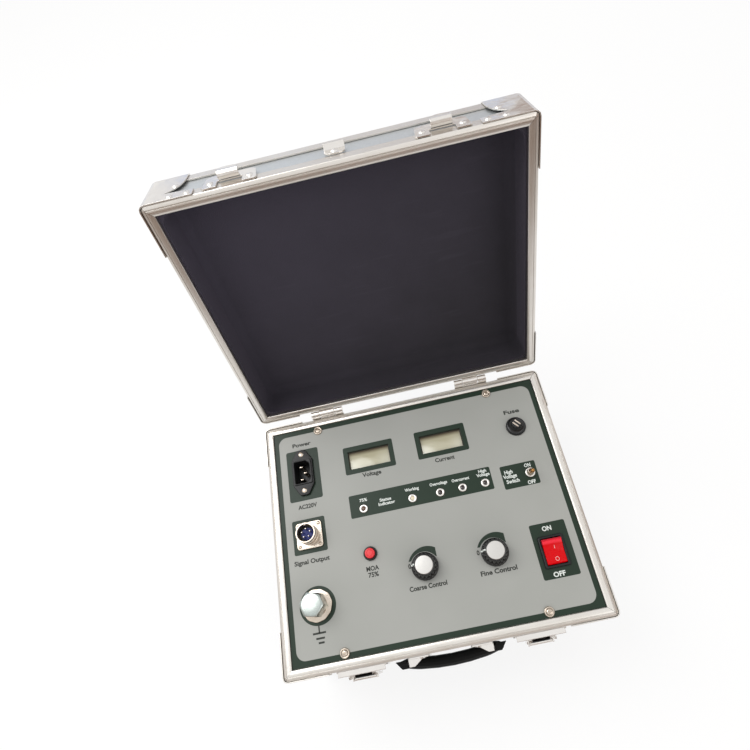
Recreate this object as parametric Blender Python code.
"""A direct-current high-voltage tester built into an aluminium carrying case, with its lid open.

Sizes are in metres and +Z is up. Every piece is modelled where it lies when the case is closed:
X runs along the front, Y from the front to the back and Z up from the soles of the feet, with zero
at the middle of the case. A moving piece hangs on an empty on its joint's axis, and the empties
hold the pose: the lid stands open, and the switches are off.
"""

import math

import bmesh
import bpy
from mathutils import Matrix, Vector

# The case
CASE_WIDTH = 0.305
CASE_DEPTH = 0.250
BASE_HEIGHT = 0.134
LID_HEIGHT = 0.050
FOOT_HEIGHT = 0.006
CORNER_RADIUS = 0.004
LID_OPEN = math.radians(109)
CASE_CENTRE_Y = -0.0592
CLEAR = 0.0003
RIM_GAP = 0.0004

# The aluminium extrusions that frame the panels of the case
EXTRUSION_WALL = 0.0012
EDGE_LEG = 0.0135
RIM_WIDTH = 0.0086
RIM_SKIRT = 0.0125
RIM_LIP = 0.0045
RIM_WEB = 0.003
RIM_SLOPE = 0.0028
RIM_SLOPE_LOW = 0.0021
RIM_SLOPE_HIGH = 0.0007
RIM_GROOVE = 0.0006
RIM_GROOVE_DEPTH = 0.0013
RIM_CROWN = 0.0003
CORNER_STEPS = 3

# Boards of the case and the lid's lining
SHELL_WALL = 0.0055
LINING_WALL = 0.0022

# Chrome corners and rivets
CAP_WALL = 0.0009
CAP_LEG = 0.032
CAP_FOOT_LEG = 0.042
CAP_FOOT_HEIGHT = 0.010
CAP_WAIST = 0.016
CAP_START = 0.0015
BASE_CAP_HEIGHT = 0.036
BRACE_HEIGHT = 0.031
RIVET_RADIUS = 0.0030
RIVET_RISE = 0.0013

# Feet
FOOT_RADIUS = 0.009
FOOT_TAPER = 0.0012
FOOT_INSET = 0.034

# Hinges
HINGE_X = 0.0805
HINGE_WIDTH = 0.035
HINGE_LEAF = 0.022
HINGE_WALL = 0.0012
HINGE_BEHIND = 0.0042
HINGE_ABOVE = 0.0020
KNUCKLE_RADIUS = 0.0032
KNUCKLE_END = 0.009
KNUCKLE_ROOM = 0.0006
PIN_RADIUS = 0.0015
PIN_CLEAR = 0.0003
HEEL_DROP = 0.0012
HEEL_WIDTH = 0.0018

# Latches
LATCH_X = 0.082
LATCH_WIDTH = 0.048
LATCH_TOP = 0.006
LATCH_HEIGHT = 0.042
LATCH_WALL = 0.0012
LATCH_HOOD = 0.0036
EAR_GAP = 0.0122
EAR_REACH = 0.0085
LEVER_PIVOT_OUT = 0.0050
LEVER_PIVOT_DOWN = 0.0160
LEVER_PIN = 0.0013
LEVER_BARREL = 0.0029
LEVER_LENGTH = 0.036
LEVER_WALL = 0.0014
LEVER_TONGUE = 0.0150
LEVER_TONGUE_LENGTH = 0.006
BAIL_PIVOT_OUT = 0.0086
BAIL_PIVOT_DOWN = 0.0225
BAIL_PIN = 0.0010
BAIL_EYE = 0.0021
BAIL_ARM = 0.0018
BAIL_WALL = 0.0016
BAIL_BAR = 0.0032

# Keepers and the finger tab on the lid
KEEPER_WIDTH = 0.043
KEEPER_START = 0.0035
KEEPER_HEIGHT = 0.0215
KEEPER_TAPER = 0.0025
KEEPER_NOTCH = 0.0100
HOOK_WIDTH = 0.0164
HOOK_SEAT = 0.0130
HOOK_CENTRE_OUT = 0.0045
HOOK_RADIUS = 0.0036
HOOK_WALL = 0.0010
HOOK_TIP = 0.0062
HOOK_TIP_ROUND = 0.0035
TAB_WIDTH = 0.0165
TAB_START = 0.0125
TAB_HEIGHT = 0.0100
TAB_FLARE = 0.0040
TAB_ROUND = 0.0035

# Handle
BRACKET_X = 0.029
BRACKET_WIDTH = 0.020
BRACKET_TOP = 0.005
BRACKET_HEIGHT = 0.030
BRACKET_WALL = 0.0014
BRACKET_WEB = 0.0080
HANDLE_PIVOT_OUT = 0.0052
HANDLE_PIVOT_DOWN = 0.014
HANDLE_PIN = 0.0016
HANDLE_PIN_LENGTH = 0.0058
HANDLE_EYE = 0.0036
HANDLE_TOE = 0.0026
HANDLE_DROP = 0.030
HANDLE_BEND = 0.012
HANDLE_BOW = 0.0042
GRIP_THICKNESS = 0.0110
GRIP_HEIGHT = 0.0150
ARM_THICKNESS = 0.0064
ARM_WIDTH = 0.0090

# Instrument panel and the frame that it is screwed to
PANEL_DROP = 0.0018
PANEL_THICKNESS = 0.002
RAIL_SHELF = 0.016
RAIL_WALL = 0.0015
RAIL_DROP = 0.024
SCREW_X = 0.094
SCREW_INSET = 0.014
SCREW_RADIUS = 0.0019
SCREW_HEAD = 0.0030
WASHER_RADIUS = 0.0047
HOLE_CLEAR = 0.0005
COLLAR = 0.0016

# Columns of the panel's pieces, from the sides of the case
COLUMN_INSET = (0.0375, 0.0381)
LEFT_COLUMN = COLUMN_INSET[0] - CASE_WIDTH / 2
RIGHT_COLUMN = CASE_WIDTH / 2 - COLUMN_INSET[1]

# Mains inlet
INLET_AT = (LEFT_COLUMN, 0.067)
INLET_BODY = (0.0200, 0.0270)
INLET_FLANGE = (0.0225, 0.0500)
INLET_FLANGE_RISE = 0.0025
INLET_SHROUD_RISE = 0.0012
INLET_DEPTH = 0.020
INLET_SOCKET = (0.0165, 0.0240)
INLET_SOCKET_DEPTH = 0.0170
INLET_PIN = (0.0040, 0.0020)
INLET_PIN_HEIGHT = 0.0130
INLET_PIN_SPACING = 0.0070
INLET_SCREW_SPACING = 0.040
INLET_SCREW = 0.0026

# Meters
METER_X = (-0.043, 0.035)
METER_Y = 0.0690
METER_WINDOW = (0.0445, 0.0200)
METER_FLANGE = (0.0540, 0.0300)
METER_FLANGE_THICKNESS = 0.0030
METER_RECESS = 0.0012
METER_BODY = (0.0480, 0.0250)
METER_DEPTH = 0.020

# Indicator lamps, which stand on one strip of board
LAMP_X = (-0.0568, -0.0061, 0.0224, 0.0454, 0.0685)
LAMP_Y = 0.0155
LAMP_RADIUS = 0.0044
LAMP_BARREL = 0.0030
LAMP_RISE = 0.0012
LAMP_DOME = 0.0020
LAMP_BOARD_DROP = 0.010
LAMP_BOARD_WIDTH = 0.012
BOARD_THICKNESS = 0.0016

# Fuse
FUSE_AT = (RIGHT_COLUMN, 0.0669)
FUSE_FLANGE = 0.0102
FUSE_FLANGE_RISE = 0.0015
FUSE_BODY = 0.0062
FUSE_BORE = 0.0040
FUSE_DEPTH = 0.030
FUSE_CAP = 0.0092
FUSE_CAP_TOP = 0.0055
FUSE_CAP_RISE = 0.0080
FUSE_RIBS = 12
FUSE_STEM = 0.0036
FUSE_STEM_LENGTH = 0.012
FUSE_SLOT = 0.0016
FUSE_SLOT_DEPTH = 0.0016

# High-voltage switch
TOGGLE_AT = (RIGHT_COLUMN, 0.0160)
TOGGLE_BUSHING = 0.0031
TOGGLE_BORE = 0.0025
TOGGLE_RISE = 0.0078
TOGGLE_NUT = 0.0050
TOGGLE_NUT_RISE = 0.0020
TOGGLE_BODY = (0.0080, 0.0130)
TOGGLE_DEPTH = 0.012
TOGGLE_LEVER = 0.0145
TOGGLE_TIP = 0.0016
TOGGLE_NECK = 0.0011
TOGGLE_BALL = 0.0020
TOGGLE_TILT = math.radians(12)

# Signal socket
SOCKET_AT = (LEFT_COLUMN, 0.0005)
SOCKET_FLANGE = 0.0265
SOCKET_FLANGE_RISE = 0.002
SOCKET_SCREW = 0.0017
SOCKET_BARREL = 0.0100
SOCKET_BORE = 0.0083
SOCKET_RISE = 0.0160
SOCKET_SEAT = 0.0050
SOCKET_SEAT_BORE = 0.0066
SOCKET_TAIL = 0.0090
INSERT_THICKNESS = 0.0040
SOCKET_PINS = 5
SOCKET_PIN = 0.0008
SOCKET_PIN_CIRCLE = 0.0053
SOCKET_PIN_HEIGHT = 0.0050

# Test button
BUTTON_AT = (-0.0571, -0.0293)
BUTTON_BEZEL = 0.0070
BUTTON_BORE = 0.0052
BUTTON_BEZEL_RISE = 0.0022
BUTTON_DEPTH = 0.014
BUTTON_CAP = 0.0048
BUTTON_PROUD = 0.0034
BUTTON_TRAVEL = 0.0025

# Knobs and the potentiometers under them
KNOB_AT = ((-0.0070, -0.0517), (0.0602, -0.0520))
KNOB_SKIRT = 0.0130
KNOB_GRIP = 0.0112
KNOB_CROWN = 0.0084
KNOB_HEIGHT = 0.0174
KNOB_SKIRT_HEIGHT = 0.0040
KNOB_RIBS = 18
KNOB_RIB_DEPTH = 0.0006
KNOB_LIFT = 0.0030
POT_BODY = 0.0120
POT_DEPTH = 0.011
POT_BUSHING = 0.0045
POT_SHAFT = 0.0030

# Power rocker
ROCKER_AT = (RIGHT_COLUMN - 0.0005, -0.0614)
ROCKER_FRAME = (0.0240, 0.0292)
ROCKER_OPENING = (0.0190, 0.0245)
ROCKER_BODY = (0.0215, 0.0270)
ROCKER_RISE = 0.0020
ROCKER_DEPTH = 0.020
ROCKER_POCKET = 0.009
ROCKER_WIDTH = 0.0182
ROCKER_REACH = 0.0118
ROCKER_END_RISE = 0.0052
ROCKER_DIP = 0.0026
ROCKER_TILT = math.radians(9)
ROCKER_AXLE = 0.0014

# Ground terminal
GROUND_AT = (LEFT_COLUMN, -0.066)
GROUND_WASHER = 0.0152
GROUND_WASHER_RISE = 0.0020
GROUND_COLLAR = 0.0104
GROUND_COLLAR_RISE = 0.0032
GROUND_STUD = 0.0040
GROUND_STUD_RISE = 0.0160
GROUND_TAIL = 0.014
GROUND_LOCKNUT = 0.0085
GROUND_LOCKNUT_RISE = 0.005
GROUND_NUT = 0.0118
GROUND_NUT_RISE = 0.0172
GROUND_NUT_CHAMFER = 0.0016

# What the base holds under the panel
BOARD_SIZE = (0.190, 0.120)
BOARD_AT = (0.015, 0.000)
BOARD_DROP = 0.036
STANDOFF_RADIUS = 0.003
STANDOFF_INSETS = ((-1, 1, 0.010, 0.025), (1, 1, 0.025, 0.018), (-1, -1, 0.005, 0.008), (1, -1, 0.020, 0.030))
BOARD_BLOCKS = (
    ((-0.058, -0.026), (0.015, 0.045), 0.020),
    ((-0.012, 0.028), (0.012, 0.034), 0.014),
    ((0.048, 0.078), (-0.012, 0.014), 0.020),
    ((-0.048, -0.020), (-0.045, -0.020), 0.016),
    ((0.022, 0.044), (-0.036, -0.016), 0.010),
)
CORE_ROOM = 0.0073
CORE_SIZE = (0.084, 0.042)
CORE_AT = (-0.060, -0.020)
COIL_SIZE = (0.054, 0.066)
COIL_SHORTER = 0.022
CORE_FOOT = (0.104, 0.056, 0.003)
SINK_AT = (0.075, 0.010)
SINK_SIZE = (0.080, 0.110)
SINK_BASE = 0.006
SINK_FINS = 9
SINK_FIN = 0.002
SINK_ROOM = 0.0213

# Heights that the pieces share
FRONT = -CASE_DEPTH / 2
BACK = CASE_DEPTH / 2
BASE_UNDERSIDE = FOOT_HEIGHT
RIM_TOP = FOOT_HEIGHT + BASE_HEIGHT
LID_RIM = RIM_TOP + RIM_GAP
LID_TOP = LID_RIM + LID_HEIGHT
SHELL_INSET = EXTRUSION_WALL + CLEAR
BOARD_INSIDE = SHELL_INSET + SHELL_WALL
PANEL_FACE = RIM_TOP - PANEL_DROP
PANEL_BACK = PANEL_FACE - PANEL_THICKNESS
PANEL_INSET = RIM_WIDTH + CLEAR
BASE_FLOOR = BASE_UNDERSIDE + SHELL_INSET + SHELL_WALL
HINGE_Y = BACK + HINGE_BEHIND
HINGE_Z = RIM_TOP + HINGE_ABOVE

MATERIALS = {
    "case_board": ((0.35, 0.36, 0.36), 0.55, 0.0),
    "aluminium": ((0.80, 0.79, 0.77), 0.30, 1.0),
    "chrome": ((0.75, 0.75, 0.76), 0.12, 1.0),
    "lining": ((0.025, 0.023, 0.030), 0.95, 0.0),
    "rubber": ((0.03, 0.03, 0.03), 0.85, 0.0),
    "panel_grey": ((0.38, 0.40, 0.38), 0.45, 0.0),
    "black_plastic": ((0.02, 0.02, 0.02), 0.40, 0.0),
    "meter_plastic": ((0.55, 0.54, 0.48), 0.40, 0.0),
    "blue_plastic": ((0.03, 0.05, 0.25), 0.40, 0.0),
    "red_plastic": ((0.80, 0.02, 0.03), 0.30, 0.0),
    "zinc": ((0.70, 0.70, 0.69), 0.30, 1.0),
    "board_green": ((0.03, 0.20, 0.09), 0.50, 0.0),
    "lamination": ((0.25, 0.25, 0.26), 0.50, 1.0),
    "sink_black": ((0.05, 0.05, 0.05), 0.45, 1.0),
}
PIVOTS = {}

for leftover in list(bpy.data.objects):
    bpy.data.objects.remove(leftover, do_unlink=True)


# Materials, empties and pieces
def material(name):
    """The named Principled material, made on first use."""
    found = bpy.data.materials.get(name)
    if found:
        return found
    colour, roughness, metallic = MATERIALS[name]
    made = bpy.data.materials.new(name)
    made.use_nodes = True
    shader = made.node_tree.nodes["Principled BSDF"]
    shader.inputs["Base Color"].default_value = (*colour, 1.0)
    shader.inputs["Roughness"].default_value = roughness
    shader.inputs["Metallic"].default_value = metallic
    made.diffuse_color = (*colour, 1.0)
    return made


def pivot(name, at, parent=None, turn=0.0):
    """An empty at a point of the closed case, turned about X; pieces on its joint hang on it."""
    empty = bpy.data.objects.new(name, None)
    bpy.context.collection.objects.link(empty)
    start = PIVOTS[parent.name] if parent else Vector()
    empty.location = Vector(at) - start
    empty.rotation_euler.x = turn
    empty.parent = parent
    PIVOTS[name] = Vector(at)
    return empty


def piece(name, shape, carrier, colour=None):
    """An object made of a bmesh in the closed case's frame, hung on a carrier. No colour: a tool."""
    bmesh.ops.remove_doubles(shape, verts=shape.verts, dist=1e-7)
    bmesh.ops.recalc_face_normals(shape, faces=shape.faces)
    bmesh.ops.translate(shape, verts=shape.verts, vec=-PIVOTS[carrier.name])
    mesh = bpy.data.meshes.new(name)
    shape.to_mesh(mesh)
    shape.free()
    made = bpy.data.objects.new(name, mesh)
    bpy.context.collection.objects.link(made)
    made.parent = carrier
    if colour:
        mesh.materials.append(material(colour))
        mesh.shade_smooth()
        mesh.set_sharp_from_angle(angle=math.radians(30))
    else:
        made.hide_render = True
        made.display_type = "WIRE"
    return made


def combine(body, tool, operation):
    """A Boolean that stays on the body."""
    step = body.modifiers.new(f"{operation.lower()} {tool.name}", "BOOLEAN")
    step.operation = operation
    step.solver = "EXACT"
    step.object = tool


def join(body, shape, label):
    combine(body, piece(f"add.{body.name}.{label}", shape, body.parent), "UNION")


def cut(body, shape, label):
    combine(body, piece(f"cut.{body.name}.{label}", shape, body.parent), "DIFFERENCE")


# Shapes
def box(low, high, shape=None):
    """A box between two corners, alone or added to a shape."""
    shape = shape or bmesh.new()
    size = Vector(high) - Vector(low)
    middle = (Vector(high) + Vector(low)) / 2
    place = Matrix.Translation(middle) @ Matrix.Diagonal((*size, 1))
    bmesh.ops.create_cube(shape, size=1.0, matrix=place)
    return shape


def block(at, size, low, high, shape=None):
    """A box with its middle at (x, y), of a size across, between two heights."""
    corner = (at[0] - size[0] / 2, at[1] - size[1] / 2, low)
    return box(corner, (at[0] + size[0] / 2, at[1] + size[1] / 2, high), shape)


def prism(outline, low, high, along="z", shape=None):
    """An outline extruded along an axis. The outline's pairs are in the order of the other axes."""
    shape = shape or bmesh.new()
    places = {"x": lambda a, b, c: (c, a, b), "y": lambda a, b, c: (a, c, b), "z": lambda a, b, c: (a, b, c)}
    place = places[along]
    rings = [[shape.verts.new(place(a, b, level)) for a, b in outline] for level in (low, high)]
    shape.faces.new(rings[0])
    shape.faces.new(rings[1])
    bridge(shape, *rings)
    return shape


def bridge(shape, first, second):
    """Quads between two closed rings of vertices with the same count."""
    for index in range(len(first)):
        after = (index + 1) % len(first)
        corners = (first[index], first[after], second[after], second[index])
        distinct = list(dict.fromkeys(corners))
        if len(distinct) > 2:
            shape.faces.new(distinct)


def loft(rings, shape=None):
    """A closed solid through rings of points with the same count."""
    shape = shape or bmesh.new()
    made = [[shape.verts.new(point) for point in ring] for ring in rings]
    for first, second in zip(made, made[1:]):
        bridge(shape, first, second)
    shape.faces.new(made[0])
    shape.faces.new(made[-1])
    return shape


def turned(profile, at, sides=24, along="z", shape=None):
    """A profile of (radius, level) pairs spun about an axis through a point. It closes on itself."""
    shape = shape or bmesh.new()
    axes = {"x": Vector((1, 0, 0)), "y": Vector((0, 1, 0)), "z": Vector((0, 0, 1))}
    axis = axes[along]
    across = axes["y"] if along == "x" else axes["x"]
    centre = Vector(at)
    verts = [shape.verts.new(centre + across * radius + axis * level) for radius, level in profile]
    edges = [shape.edges.new((verts[i], verts[(i + 1) % len(verts)])) for i in range(len(verts))]
    lone = [edge for edge, i in zip(edges, range(len(verts)))
            if profile[i][0] == 0 and profile[(i + 1) % len(verts)][0] == 0]
    for edge in lone:
        shape.edges.remove(edge)
    edges = [edge for edge in edges if edge.is_valid]
    bmesh.ops.spin(shape, geom=verts + edges, cent=centre, axis=axis, angle=math.tau,
                   steps=sides, use_merge=True)
    bmesh.ops.remove_doubles(shape, verts=shape.verts, dist=1e-7)
    return shape


def cylinder(at, radius, low, high, sides=24, along="z", shape=None):
    return turned([(0, low), (radius, low), (radius, high), (0, high)], at, sides, along, shape)


def dome(radius, rise, steps=3):
    """Points of a shallow dome from its edge to its top."""
    return [(radius * math.cos(math.pi / 2 * i / steps), rise * math.sin(math.pi / 2 * i / steps))
            for i in range(steps)] + [(0, rise)]


def rounded(width, height, radius, steps=3, at=(0, 0)):
    """Outline of a rectangle with round corners."""
    points = []
    for corner, (sx, sy) in enumerate(((1, 1), (-1, 1), (-1, -1), (1, -1))):
        for step in range(steps + 1):
            angle = math.pi / 2 * (corner + step / steps)
            points.append((at[0] + sx * (width / 2 - radius) + radius * math.cos(angle),
                           at[1] + sy * (height / 2 - radius) + radius * math.sin(angle)))
    return points


def hexagon(at, radius):
    """Outline of a hexagon by its corner radius."""
    return [(at[0] + radius * math.cos(math.tau * i / 6), at[1] + radius * math.sin(math.tau * i / 6))
            for i in range(6)]


def case_block(inset, low, high, round_end=None):
    """The case's block, drawn in by an inset, with round upright edges and one round end."""
    shape = box((-CASE_WIDTH / 2 + inset, FRONT + inset, low), (CASE_WIDTH / 2 - inset, BACK - inset, high))
    radius = CORNER_RADIUS - inset
    middle = (low + high) / 2
    chosen = []
    for edge in shape.edges:
        heights = [vert.co.z for vert in edge.verts]
        upright = abs(heights[0] - heights[1]) > 1e-6
        at_end = round_end and not upright and (heights[0] > middle) == (round_end == "top")
        if upright or at_end:
            chosen.append(edge)
    bmesh.ops.bevel(shape, geom=chosen, offset=radius, segments=CORNER_STEPS, affect="EDGES", profile=0.5)
    return shape


def rim_outline():
    """Section of the rim extrusion as (inset, height): skirt, sloped band, groove, crown, lip."""
    points = [(0, -RIM_SKIRT), (0, -RIM_SLOPE_LOW - 0.0005), (0.0003, -RIM_SLOPE_LOW),
              (0.0016, -0.0013), (RIM_SLOPE, -RIM_SLOPE_HIGH), (RIM_SLOPE + 0.0001, -RIM_GROOVE_DEPTH),
              (RIM_SLOPE + RIM_GROOVE, -RIM_GROOVE_DEPTH)]
    crown_start = RIM_SLOPE + RIM_GROOVE + 0.0001
    crown_end = RIM_WIDTH - 0.0006
    for step in range(5):
        share = step / 4
        points.append((crown_start + (crown_end - crown_start) * share, -RIM_CROWN * (2 * share - 1) ** 2))
    points += [(RIM_WIDTH - 0.0002, -0.0006), (RIM_WIDTH, -0.0011), (RIM_WIDTH, -RIM_LIP),
               (RIM_WIDTH - EXTRUSION_WALL, -RIM_LIP), (RIM_WIDTH - EXTRUSION_WALL, -RIM_WEB),
               (EXTRUSION_WALL, -RIM_WEB), (EXTRUSION_WALL, -RIM_SKIRT)]
    return points


def around_case(outline, plane, side=1):
    """A section of (inset, height) pairs swept round the case: round outside, mitred inside."""
    shape = bmesh.new()
    rings = []
    for corner, (sx, sy) in enumerate(((1, 1), (-1, 1), (-1, -1), (1, -1))):
        for step in range(CORNER_STEPS + 1):
            angle = math.pi / 2 * (corner + step / CORNER_STEPS)
            ring = []
            for inset, height in outline:
                bend = max(CORNER_RADIUS - inset, 0)
                reach = max(CORNER_RADIUS, inset)
                ring.append(shape.verts.new((sx * (CASE_WIDTH / 2 - reach) + bend * math.cos(angle),
                                             sy * (CASE_DEPTH / 2 - reach) + bend * math.sin(angle),
                                             plane + side * height)))
            rings.append(ring)
    for index, ring in enumerate(rings):
        bridge(shape, ring, rings[(index + 1) % len(rings)])
    bmesh.ops.remove_doubles(shape, verts=shape.verts, dist=1e-7)
    return shape


def corner_region(sx, sy, levels):
    """A stack of five-sided rings at a case corner: each level is (height, leg along the sides)."""
    beyond = 0.01
    rings = []
    for height, leg in levels:
        x, y = CASE_WIDTH / 2, CASE_DEPTH / 2
        ring = [(x + beyond, y + beyond), (x - leg, y + beyond), (x - leg, y - leg * 0.35),
                (x - leg * 0.35, y - leg), (x + beyond, y - leg)]
        rings.append([(sx * a, sy * b, height) for a, b in ring])
    return loft(rings)


def rivet(shape, at, facing):
    """A rivet's dome on a face of the case, sunk a little way into the piece that it holds."""
    sign = 1 if facing[1] == "+" else -1
    profile = [(0, -0.0004 * sign), (RIVET_RADIUS, -0.0004 * sign)]
    profile += [(r, sign * z) for r, z in dome(RIVET_RADIUS, RIVET_RISE, 2)]
    return turned(profile, at, 10, facing[0], shape)


# Casings
def shells_and_frames(case, lid):
    """Boards, rim extrusions, edge extrusions and lining of the base and the lid."""
    board_top = RIM_TOP - RIM_WEB - CLEAR
    base = piece("base_shell", case_block(SHELL_INSET, BASE_UNDERSIDE + SHELL_INSET, board_top, "bottom"),
                 case, "case_board")
    inside = CASE_WIDTH / 2 - BOARD_INSIDE
    room = (2 * inside, CASE_DEPTH - 2 * BOARD_INSIDE)
    cut(base, block((0, 0), room, BASE_FLOOR, board_top + 0.01), "room")

    board_low = LID_RIM + RIM_WEB + CLEAR
    lid_shell = piece("lid_shell", case_block(SHELL_INSET, board_low, LID_TOP - SHELL_INSET, "top"),
                      lid, "case_board")
    ceiling = LID_TOP - SHELL_INSET - SHELL_WALL
    cut(lid_shell, block((0, 0), room, board_low - 0.01, ceiling), "room")

    lining_low = LID_RIM + RIM_LIP + CLEAR
    outer = [size - 2 * CLEAR for size in room]
    lining = piece("lid_lining", block((0, 0), outer, lining_low, ceiling - CLEAR), lid, "lining")
    tray = [size - 2 * LINING_WALL for size in outer]
    cut(lining, block((0, 0), tray, lining_low - 0.01, ceiling - CLEAR - LINING_WALL), "tray")

    piece("base_rim_frame", around_case(rim_outline(), RIM_TOP), case, "aluminium")
    piece("lid_rim_frame", around_case(rim_outline(), LID_RIM, -1), lid, "aluminium")

    posts_top = RIM_TOP - RIM_SKIRT - CLEAR
    solid = case_block(0, BASE_UNDERSIDE, posts_top, "bottom")
    base_edges = piece("base_edge_frame", solid, case, "aluminium")
    edge_cuts(base_edges, BASE_UNDERSIDE, posts_top, 1)
    braces = corner_braces(case, posts_top)
    combine(base_edges, braces, "UNION")

    posts_low = LID_RIM + RIM_SKIRT + CLEAR
    lid_edges = piece("lid_edge_frame", case_block(0, posts_low, LID_TOP, "top"), lid, "aluminium")
    edge_cuts(lid_edges, LID_TOP, posts_low, -1)


def edge_cuts(frame, closed_end, open_end, side):
    """Hollows a block into edge extrusions: angles round one end, and posts up from its corners."""
    beyond = open_end + side * 0.01
    end_skin = closed_end + side * EXTRUSION_WALL
    low, high = min(end_skin, beyond), max(end_skin, beyond)
    cut(frame, case_block(EXTRUSION_WALL, low, high, "bottom" if side > 0 else "top"), "skin")
    through = 0.02
    leg = closed_end + side * EDGE_LEG
    low, high = min(leg, beyond), max(leg, beyond)
    width, depth = CASE_WIDTH - 2 * EDGE_LEG, CASE_DEPTH - 2 * EDGE_LEG
    cut(frame, block((0, 0), (width, CASE_DEPTH + through), low, high), "front_and_back")
    cut(frame, block((0, 0), (CASE_WIDTH + through, depth), low, high), "sides")
    low, high = sorted((closed_end - side * through, closed_end + side * through))
    cut(frame, block((0, 0), (width, depth), low, high), "face")


def corner_braces(case, posts_top):
    """Chrome angles at the base's upper corners: they step out over the rim's skirt."""
    low, high = RIM_TOP - BRACE_HEIGHT, RIM_TOP - CAP_START
    outside = -CLEAR - CAP_WALL
    braces = piece("add.base_edge_frame.braces", case_block(outside, low, high), case)
    cut(braces, case_block(-CLEAR, posts_top, high + 0.01), "over_the_skirt")
    cut(braces, case_block(EXTRUSION_WALL / 2, low - 0.01, posts_top + 0.005), "over_the_posts")
    width, depth = CASE_WIDTH - 2 * CAP_FOOT_LEG, CASE_DEPTH - 2 * CAP_FOOT_LEG
    reach = 0.02
    cut(braces, block((0, 0), (width, CASE_DEPTH + reach), low - 0.01, high + 0.01), "front_and_back")
    cut(braces, block((0, 0), (CASE_WIDTH + reach, depth), low - 0.01, high + 0.01), "sides")
    waist = RIM_TOP - CAP_START - CAP_FOOT_HEIGHT
    width, depth = CASE_WIDTH - 2 * CAP_WAIST, CASE_DEPTH - 2 * CAP_WAIST
    cut(braces, block((0, 0), (width, CASE_DEPTH + reach), low - 0.02, waist), "waist_front_and_back")
    cut(braces, block((0, 0), (CASE_WIDTH + reach, depth), low - 0.02, waist), "waist_sides")
    return braces


def corner_caps(case, lid):
    """Pressed chrome corners: four under the base and four on the lid, each with its rivets."""
    face = -CLEAR - CAP_WALL
    base_levels = [(BASE_UNDERSIDE - 0.01, CAP_LEG), (BASE_UNDERSIDE + 0.004, CAP_LEG)]
    lid_foot = LID_RIM + CAP_START
    lid_levels = [(lid_foot, CAP_FOOT_LEG), (lid_foot + CAP_FOOT_HEIGHT, CAP_FOOT_LEG),
                  (lid_foot + CAP_FOOT_HEIGHT + 0.003, CAP_WAIST)]
    steps = 5
    for step in range(1, steps + 1):
        turn = math.pi / 2 * step / steps
        base_levels.append((BASE_UNDERSIDE + 0.004 + (BASE_CAP_HEIGHT - 0.004) * math.sin(turn),
                            CAP_WAIST / 2 + (CAP_LEG - CAP_WAIST / 2) * math.cos(turn)))
        start = lid_foot + CAP_FOOT_HEIGHT + 0.004
        lid_levels.append((start + (LID_TOP - 0.010 - start) * (1 - math.cos(turn)),
                           CAP_WAIST + (CAP_LEG - CAP_WAIST) * math.sin(turn)))
    lid_levels.append((LID_TOP + 0.01, CAP_LEG))
    for sx, side in ((-1, "left"), (1, "right")):
        for sy, end in ((-1, "front"), (1, "rear")):
            wall_x, wall_y = sx * (CASE_WIDTH / 2 - face), sy * (CASE_DEPTH / 2 - face)
            signs = ("x" + "-+"[sx > 0], "y" + "-+"[sy > 0])

            solid = case_block(face, BASE_UNDERSIDE + face, RIM_TOP - RIM_SKIRT, "bottom")
            cap = piece(f"base_corner_{end}_{side}", solid, case, "chrome")
            tool = piece(f"keep.{cap.name}", corner_region(sx, sy, base_levels), case)
            combine(cap, tool, "INTERSECT")
            cut(cap, case_block(-CLEAR, BASE_UNDERSIDE - CLEAR, RIM_TOP, "bottom"), "case")
            height = BASE_UNDERSIDE + 0.010
            heads = rivet(None, (sx * (CASE_WIDTH / 2 - 0.021), wall_y, height), signs[1])
            heads = rivet(heads, (wall_x, sy * (CASE_DEPTH / 2 - 0.021), height), signs[0])
            join(cap, heads, "rivets")

            solid = case_block(face, lid_foot, LID_TOP - face, "top")
            cap = piece(f"lid_corner_{end}_{side}", solid, lid, "chrome")
            tool = piece(f"keep.{cap.name}", corner_region(sx, sy, lid_levels), lid)
            combine(cap, tool, "INTERSECT")
            cut(cap, case_block(-CLEAR, LID_RIM, LID_TOP + CLEAR, "top"), "case")
            heads = None
            for leg, depth in ((0.0236, 0.0062), (0.0372, 0.0062), (0.0247, 0.0255)):
                heads = rivet(heads, (sx * (CASE_WIDTH / 2 - leg), wall_y, LID_RIM + depth), signs[1])
                heads = rivet(heads, (wall_x, sy * (CASE_DEPTH / 2 - leg), LID_RIM + depth), signs[0])
            join(cap, heads, "rivets")


def feet(case):
    """Four rubber feet under the base's board."""
    top = BASE_UNDERSIDE + SHELL_INSET - CLEAR
    profile = [(0, 0), (FOOT_RADIUS - FOOT_TAPER, 0), (FOOT_RADIUS, FOOT_HEIGHT * 0.6),
               (FOOT_RADIUS, top), (0, top)]
    for sx, side in ((-1, "left"), (1, "right")):
        for sy, end in ((-1, "front"), (1, "rear")):
            at = (sx * (CASE_WIDTH / 2 - FOOT_INSET), sy * (CASE_DEPTH / 2 - FOOT_INSET), 0)
            piece(f"foot_{end}_{side}", turned(profile, at, 24), case, "rubber")


def screw_head(at, radius, shape=None):
    """A screw's low round head on a face, sunk a little way into the piece that it holds."""
    profile = [(0, -0.0005), (radius, -0.0005)] + dome(radius, 0.0009, 2)
    return turned(profile, at, 10, "z", shape)


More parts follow.
